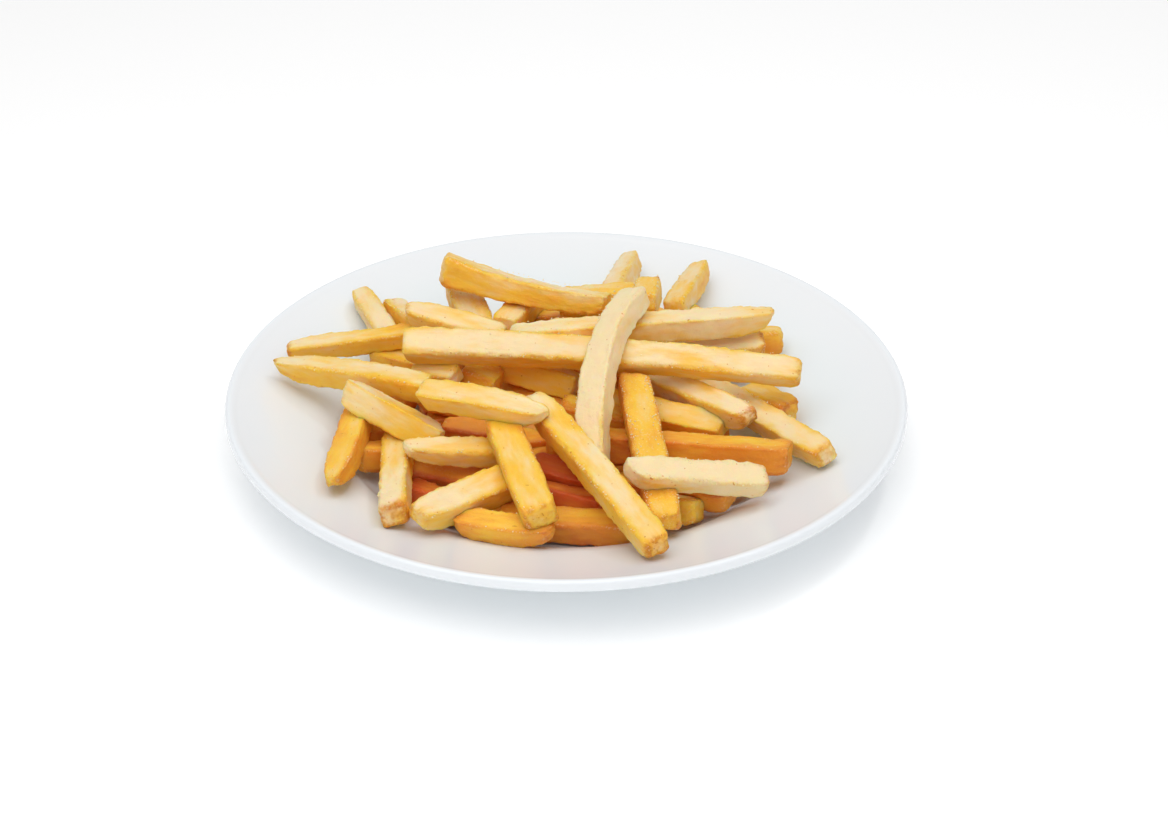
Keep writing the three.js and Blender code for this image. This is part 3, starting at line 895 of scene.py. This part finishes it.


# ---- how close the fries lie
# Where fries crowd together their tone deepens, as painted shade in the gaps and under the fries above. It
# also deepens low in the well, as painted shade where the fries meet the plate.
DEEPENING = 0.5  # by each fry that touches
CROWDING = 0.9  # share that each fry a little further off adds
COVER = 0.004  # height over the skin from which a neighbour tints it in full
CLOSE = 0.0045  # from a neighbour's axis to skin that touches it
CLEAR = 0.0105  # from a neighbour's axis to skin that it no longer touches
FAR = 0.020  # from a neighbour's axis to skin that it no longer shades
LOW_PAINTED_SHADE = 0.7  # painted shade low in the well
LOW_SHADE_TOP = 0.016  # height over the table up to which the painted shade reaches
LOW_SHADE_BOTTOM = 0.008  # height under which the painted shade is full


def closeness(points, row, neighbours):
    """For each point, how many fries crowd it, counting those above it most."""
    total = np.zeros(len(points))
    lowest, highest = points.min(axis=0) - FAR, points.max(axis=0) + FAR
    for other in neighbours:
        if other is row:
            continue
        axis = axis_points(other)
        axis = axis[np.all((axis > lowest) & (axis < highest), axis=1)]
        if not len(axis):
            continue
        gaps = axis[None] - points[:, None]
        distances = np.linalg.norm(gaps, axis=2)
        nearest = np.argmin(distances, axis=1)
        pick = np.arange(len(points))
        gap, rise = distances[pick, nearest], gaps[pick, nearest, 2]
        total += fade(gap, CLEAR, CLOSE) * fade(rise, -COVER, COVER)
        total += CROWDING * fade(gap, FAR, CLOSE) * fade(rise, 0, 3 * COVER)
    return total


def make_fries(rows, sizes, name, spacing, section_cuts, neighbours):
    """Joins all the fries of a group in one mesh, with their skin coordinates and look as attributes."""
    joined = bmesh.new()
    places, skins, looks = [], [], []
    for number, row in enumerate(rows):
        block = make_block(max(LEAST_CUTS, round(length_of(row) / spacing)), section_cuts)
        single = mesh_from(block, "fry")
        joined.from_mesh(single)
        grid = np.empty(len(single.vertices) * 3)
        single.vertices.foreach_get("co", grid)
        bpy.data.meshes.remove(single)
        points, skin, look = lay_fry(grid.reshape(-1, 3), row, sizes, sizes.seed * SEED_STEP + number)
        # Painted shade: deeper tone where other fries crowd the skin, and low in the well where the fries
        # meet the plate.
        look[:, 0] += DEEPENING * closeness(points, row, neighbours)
        look[:, 0] += LOW_PAINTED_SHADE * fade(points[:, 2], LOW_SHADE_TOP, LOW_SHADE_BOTTOM)
        places.append(points)
        skins.append(skin)
        looks.append(look)
    mesh = mesh_from(joined, name)
    mesh.vertices.foreach_set("co", np.concatenate(places).ravel())
    describe(mesh, np.concatenate(skins), np.concatenate(looks))
    mesh.update()
    return mesh


# ---- buried fries
BED_LAYERS = [
    {"height": 0.0113, "radius": 0.070, "turn": 0.3, "centre": (0.0, 0.0)},
    {"height": 0.0205, "radius": 0.058, "turn": 1.9, "centre": (0.0, 0.004)},
    {"height": 0.029, "radius": 0.034, "turn": 0.8, "centre": (0.0, 0.034)},
]
BED_LANE = 0.0115  # from one lane to the next
BED_CLEAR = 0.0086  # least distance between a buried fry's axis and another's
BED_TURN = 0.08  # most that a lane turns aside, in radians
BED_SLOPE = 0.03  # most that it climbs or falls, as a share
BED_LONGEST = (0.045, 0.08)
BED_SHORTEST = 0.016
# Buried fries are deeper in tone than those on top, as painted shade seen through the gaps.
BED_TONES = (0.8, 1.5)
BED_TIPS = (0.6, 1)


def lanes(draw):
    """The middle, the direction, the half length and the longest fry of each lane, layer by layer."""
    for layer in BED_LAYERS:
        count = int(layer["radius"] / BED_LANE)
        aside = Vector((-math.sin(layer["turn"]), math.cos(layer["turn"]), 0))
        for number in range(-count, count + 1):
            offset = number * BED_LANE
            half = math.sqrt(max(layer["radius"] ** 2 - offset**2, 0))
            heading = layer["turn"] + draw.uniform(-BED_TURN, BED_TURN)
            ahead = Vector((math.cos(heading), math.sin(heading), draw.uniform(-BED_SLOPE, BED_SLOPE)))
            middle = Vector((*layer["centre"], layer["height"])) + aside * offset
            yield middle, ahead, half, draw.uniform(*BED_LONGEST)


def bury_fries(shown, sizes):
    """Lays fries along the lanes, wherever there is room between the others."""
    draw = random.Random(sizes.seed)
    taken = np.concatenate([axis_points(row) for row in shown])
    buried = []
    for middle, ahead, half, longest in lanes(draw):
        run = []
        steps = int(half / AXIS_STEP)
        for i in range(-steps, steps + 2):
            place = middle + ahead * (i * AXIS_STEP)
            free = np.min(np.linalg.norm(taken - np.array(place), axis=1)) > BED_CLEAR and i <= steps
            if free:
                run.append(place)
            if not free or len(run) * AXIS_STEP > longest:
                if len(run) * AXIS_STEP > BED_SHORTEST:
                    tone, tip = draw.uniform(*BED_TONES), draw.uniform(*BED_TIPS)
                    buried.append(fry(run[0], run[-1], tone=tone, tips=(tip, 1)))
                    taken = np.concatenate([taken, axis_points(buried[-1])])
                run = []
    return buried


# ---- core
CORES = [
    {"centre": (0.0, -0.008), "radius": 0.056, "height": 0.0135},
    {"centre": (0.002, 0.016), "radius": 0.038, "height": 0.024},
]
# The core's deep tone is painted shade.
CORE_SHADE_LOOK = (2.1, 0.0, 0.6, 0.0)  # tone, browning, coarseness and edges


def make_core(floor):
    """Low mounds on the well's floor, which close the last gaps between the fries; their deep tone is
    painted shade seen through those gaps.
    """
    bm = bmesh.new()
    for core in CORES:
        middle = Matrix.Translation((*core["centre"], floor))
        shape = Matrix.Diagonal((core["radius"], core["radius"], core["height"] - floor, 1))
        dome = bmesh.ops.create_icosphere(bm, subdivisions=5, radius=1, matrix=middle @ shape)
        parts = dome["verts"] + list({e for v in dome["verts"] for e in v.link_edges})
        parts += list({f for v in dome["verts"] for f in v.link_faces})
        level = {"plane_co": (0, 0, floor), "plane_no": (0, 0, 1)}
        cut = bmesh.ops.bisect_plane(bm, geom=parts, **level, clear_inner=True)
        rim = [e for e in cut["geom_cut"] if isinstance(e, bmesh.types.BMEdge)]
        bmesh.ops.contextual_create(bm, geom=rim)
    mesh = mesh_from(bm, "heap_core")
    places = np.empty(len(mesh.vertices) * 3)
    mesh.vertices.foreach_get("co", places)
    describe(mesh, places, np.tile(CORE_SHADE_LOOK, len(mesh.vertices)))
    return mesh


# ---- crumbs
CRUMB_COUNT = 1500
CRUMB_SIZES = (0.00012, 0.00036)
CRUMB_FEWEST = 0.1  # how readily they lie on the smoothest skin
CRUMB_SIDES = (4, 1)  # gathers them near the edges
CRUMB_SPAN = (0.05, 0.95)  # shares of a fry's length between which they lie
CRUMB_EDGE = 0.86  # share of a fry's half width where its upper edges begin
CRUMB_FALL = 0.9  # how steeply they lie lower beyond that
CRUMB_HEIGHT = 0.985  # how high they lie, as a share of a fry's half height
CRUMB_REACH = 0.97  # how far out they lie, as a share of its half width


def make_crumbs(rows, sizes):
    """Scatters specks over the upper edges and faces of the fries that show, most on the coarse ones."""
    draw = random.Random(sizes.seed + 5)
    weights = [length_of(row) * (CRUMB_FEWEST + row["coarse"] ** 1.5) for row in rows]
    bm = bmesh.new()
    for _ in range(CRUMB_COUNT):
        row = draw.choices(rows, weights=weights)[0]
        length = length_of(row)
        width, height = section_of(row, sizes)
        t = draw.uniform(*CRUMB_SPAN)
        side = draw.choice((-1, 1)) * draw.betavariate(*CRUMB_SIDES)
        reach = min(closing(length * t, row["tips"][0]), closing(length * (1 - t), row["tips"][1]))
        reach *= 1 + (row["taper"] - 1) * t
        top = CRUMB_HEIGHT - CRUMB_FALL * max(abs(side) - CRUMB_EDGE, 0)
        aside = np.array([side * width / 2 * reach * CRUMB_REACH])
        upwards = np.array([height / 2 * (top * reach + TIP_RISE * (1 - reach))])
        place = lay_along(row, np.array([t]), aside, upwards, 0)[0]
        size = draw.uniform(*CRUMB_SIZES)
        angle = draw.uniform(0, math.tau)
        turn = Matrix.Rotation(angle, 4, (draw.random(), draw.random(), draw.random() + 0.1))
        shape = Matrix.Diagonal((size, size * draw.uniform(0.6, 1), size * draw.uniform(0.5, 0.9), 1))
        where = Matrix.Translation(place) @ turn @ shape
        bmesh.ops.create_icosphere(bm, subdivisions=1, radius=1, matrix=where)
    return mesh_from(bm, "crumbs")


# ---- operators
SOFTBOXES = {  # the place and the width of each
    "key": ((-0.12, -0.32, 1.15), 1.2),
    "front": ((0.2, -1.4, 0.85), 1.2),
    "spark": ((0.45, 0.2, 1.1), 0.12),
}
TABLE_SIZE = 4  # from the middle to an edge
SENSOR_WIDTH = 36  # millimetres
CLIP_START = 0.01

# Which fries each piece holds, how far apart the cuts along them are, and how many run across.
HEAP = {
    "fries_on_top": (TOP + FRONT_AND_LEFT, 0.0009, 13),
    "fries_around": (LOW_IN_THE_WELL + RIGHT_SIDE + BACK_SLOPE, 0.0012, 10),
}
BED_GRID = (0.003, 5)
SHOWN = LOW_IN_THE_WELL + RIGHT_SIDE + FRONT_AND_LEFT + BACK_SLOPE + TOP
WITH_CRUMBS = RIGHT_SIDE + FRONT_AND_LEFT + BACK_SLOPE[:8] + TOP  # the slope's other fries lie beneath


class FRIES_OT_stage(bpy.types.Operator):
    """Sets up the camera, a white table and soft light"""

    bl_idname = "fries.stage"
    bl_label = "Studio"

    def execute(self, context):
        s = context.scene.fries_studio
        back = Vector((0, -math.cos(s.elevation), math.sin(s.elevation)))
        camera = bpy.data.objects.new("camera", bpy.data.cameras.new("camera"))
        camera.data.lens = s.focal_length
        camera.data.sensor_width = SENSOR_WIDTH
        camera.data.clip_start = CLIP_START
        camera.location = Vector(s.aim) + back * s.distance
        camera.rotation_euler = back.to_track_quat("Z", "Y").to_euler()
        context.scene.collection.objects.link(camera)
        context.scene.camera = camera

        bm = bmesh.new()
        bmesh.ops.create_grid(bm, x_segments=1, y_segments=1, size=TABLE_SIZE)
        table = add_piece("table", mesh_from(bm, "table"), make_table())
        table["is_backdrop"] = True

        for name, (place, size) in SOFTBOXES.items():
            self.add_softbox(context, name, place, size, getattr(s, f"{name}_power"))
        context.scene.world = bpy.data.worlds.new("room")
        context.scene.world.use_nodes = True
        room = context.scene.world.node_tree.nodes["Background"]
        room.inputs["Color"].default_value = (1, 1, 1, 1)
        room.inputs["Strength"].default_value = s.fill
        context.scene.view_settings.view_transform = "Standard"
        return {"FINISHED"}

    def add_softbox(self, context, name, place, size, power):
        """Adds a square area light that points at the plate."""
        light = bpy.data.objects.new(name, bpy.data.lights.new(name, "AREA"))
        light.data.size = size
        light.data.energy = power
        light.location = place
        light.visible_camera = False
        light.rotation_euler = Vector(place).to_track_quat("Z", "Y").to_euler()
        context.scene.collection.objects.link(light)


class FRIES_OT_plate(bpy.types.Operator):
    """Turns the glazed plate"""

    bl_idname = "fries.plate"
    bl_label = "Plate"

    def execute(self, context):
        sizes = context.scene.fries_plate
        plate = add_piece("plate_glazed", make_plate(sizes), make_porcelain(sizes))
        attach(plate, "root")
        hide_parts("plate")
        return {"FINISHED"}


class FRIES_OT_fries(bpy.types.Operator):
    """Lays the fries that show and buries others beneath them"""

    bl_idname = "fries.fries"
    bl_label = "Fries"

    def execute(self, context):
        sizes = context.scene.fries_sizes
        skin = make_fried_potato(context.scene.fries_colours)
        buried = bury_fries(SHOWN, sizes)
        for name, (rows, spacing, cuts) in {**HEAP, "fries_beneath": (buried, *BED_GRID)}.items():
            self.add_fries(name, make_fries(rows, sizes, name, spacing, cuts, SHOWN + buried), skin)
        self.add_fries("heap_core", make_core(context.scene.fries_plate.floor_height), skin)
        return {"FINISHED"}

    def add_fries(self, name, mesh, skin):
        """Adds one piece of the heap, which stands for the solid heap."""
        piece = add_piece(name, mesh, skin)
        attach(piece, "root")
        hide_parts("fries")


class FRIES_OT_crumbs(bpy.types.Operator):
    """Scatters crumbs and salt on the fries"""

    bl_idname = "fries.crumbs"
    bl_label = "Crumbs"

    def execute(self, context):
        mesh = make_crumbs(WITH_CRUMBS, context.scene.fries_sizes)
        crumbs = add_piece("crumbs", mesh, make_crumb(context.scene.fries_colours))
        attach(crumbs, "root")
        return {"FINISHED"}


class FRIES_PT_panel(bpy.types.Panel):
    """Lists the steps and their settings"""

    bl_idname = "FRIES_PT_panel"
    bl_label = "French fries portion"
    bl_space_type = "VIEW_3D"
    bl_region_type = "UI"
    bl_category = "Fries"

    def draw(self, context):
        for group, _, step in SETTINGS:
            box = self.layout.box()
            for name in getattr(context.scene, group).bl_rna.properties.keys():
                if name not in ("rna_type", "name"):
                    box.prop(getattr(context.scene, group), name)
            box.operator(step)


SETTINGS = [
    ("fries_studio", StudioSettings, "fries.stage"),
    ("fries_plate", PlateSizes, "fries.plate"),
    ("fries_sizes", FrySizes, "fries.fries"),
    ("fries_colours", FryColours, "fries.crumbs"),
]
OPERATORS = [FRIES_OT_stage, FRIES_OT_plate, FRIES_OT_fries, FRIES_OT_crumbs]


def register():
    for group, kind, _ in SETTINGS:
        bpy.utils.register_class(kind)
        setattr(bpy.types.Scene, group, bpy.props.PointerProperty(type=kind))
    for kind in [*OPERATORS, FRIES_PT_panel]:
        bpy.utils.register_class(kind)


def unregister():
    for kind in reversed([*OPERATORS, FRIES_PT_panel]):
        bpy.utils.unregister_class(kind)
    for group, kind, _ in reversed(SETTINGS):
        delattr(bpy.types.Scene, group)
        bpy.utils.unregister_class(kind)


def main():
    register()
    bpy.ops.fries.stage()
    bpy.ops.fries.plate()
    bpy.ops.fries.fries()
    bpy.ops.fries.crumbs()
    [[list(corner) for corner in box] for box in (FRAME_BOUNDS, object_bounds())]


if __name__ == "__main__":
    main()
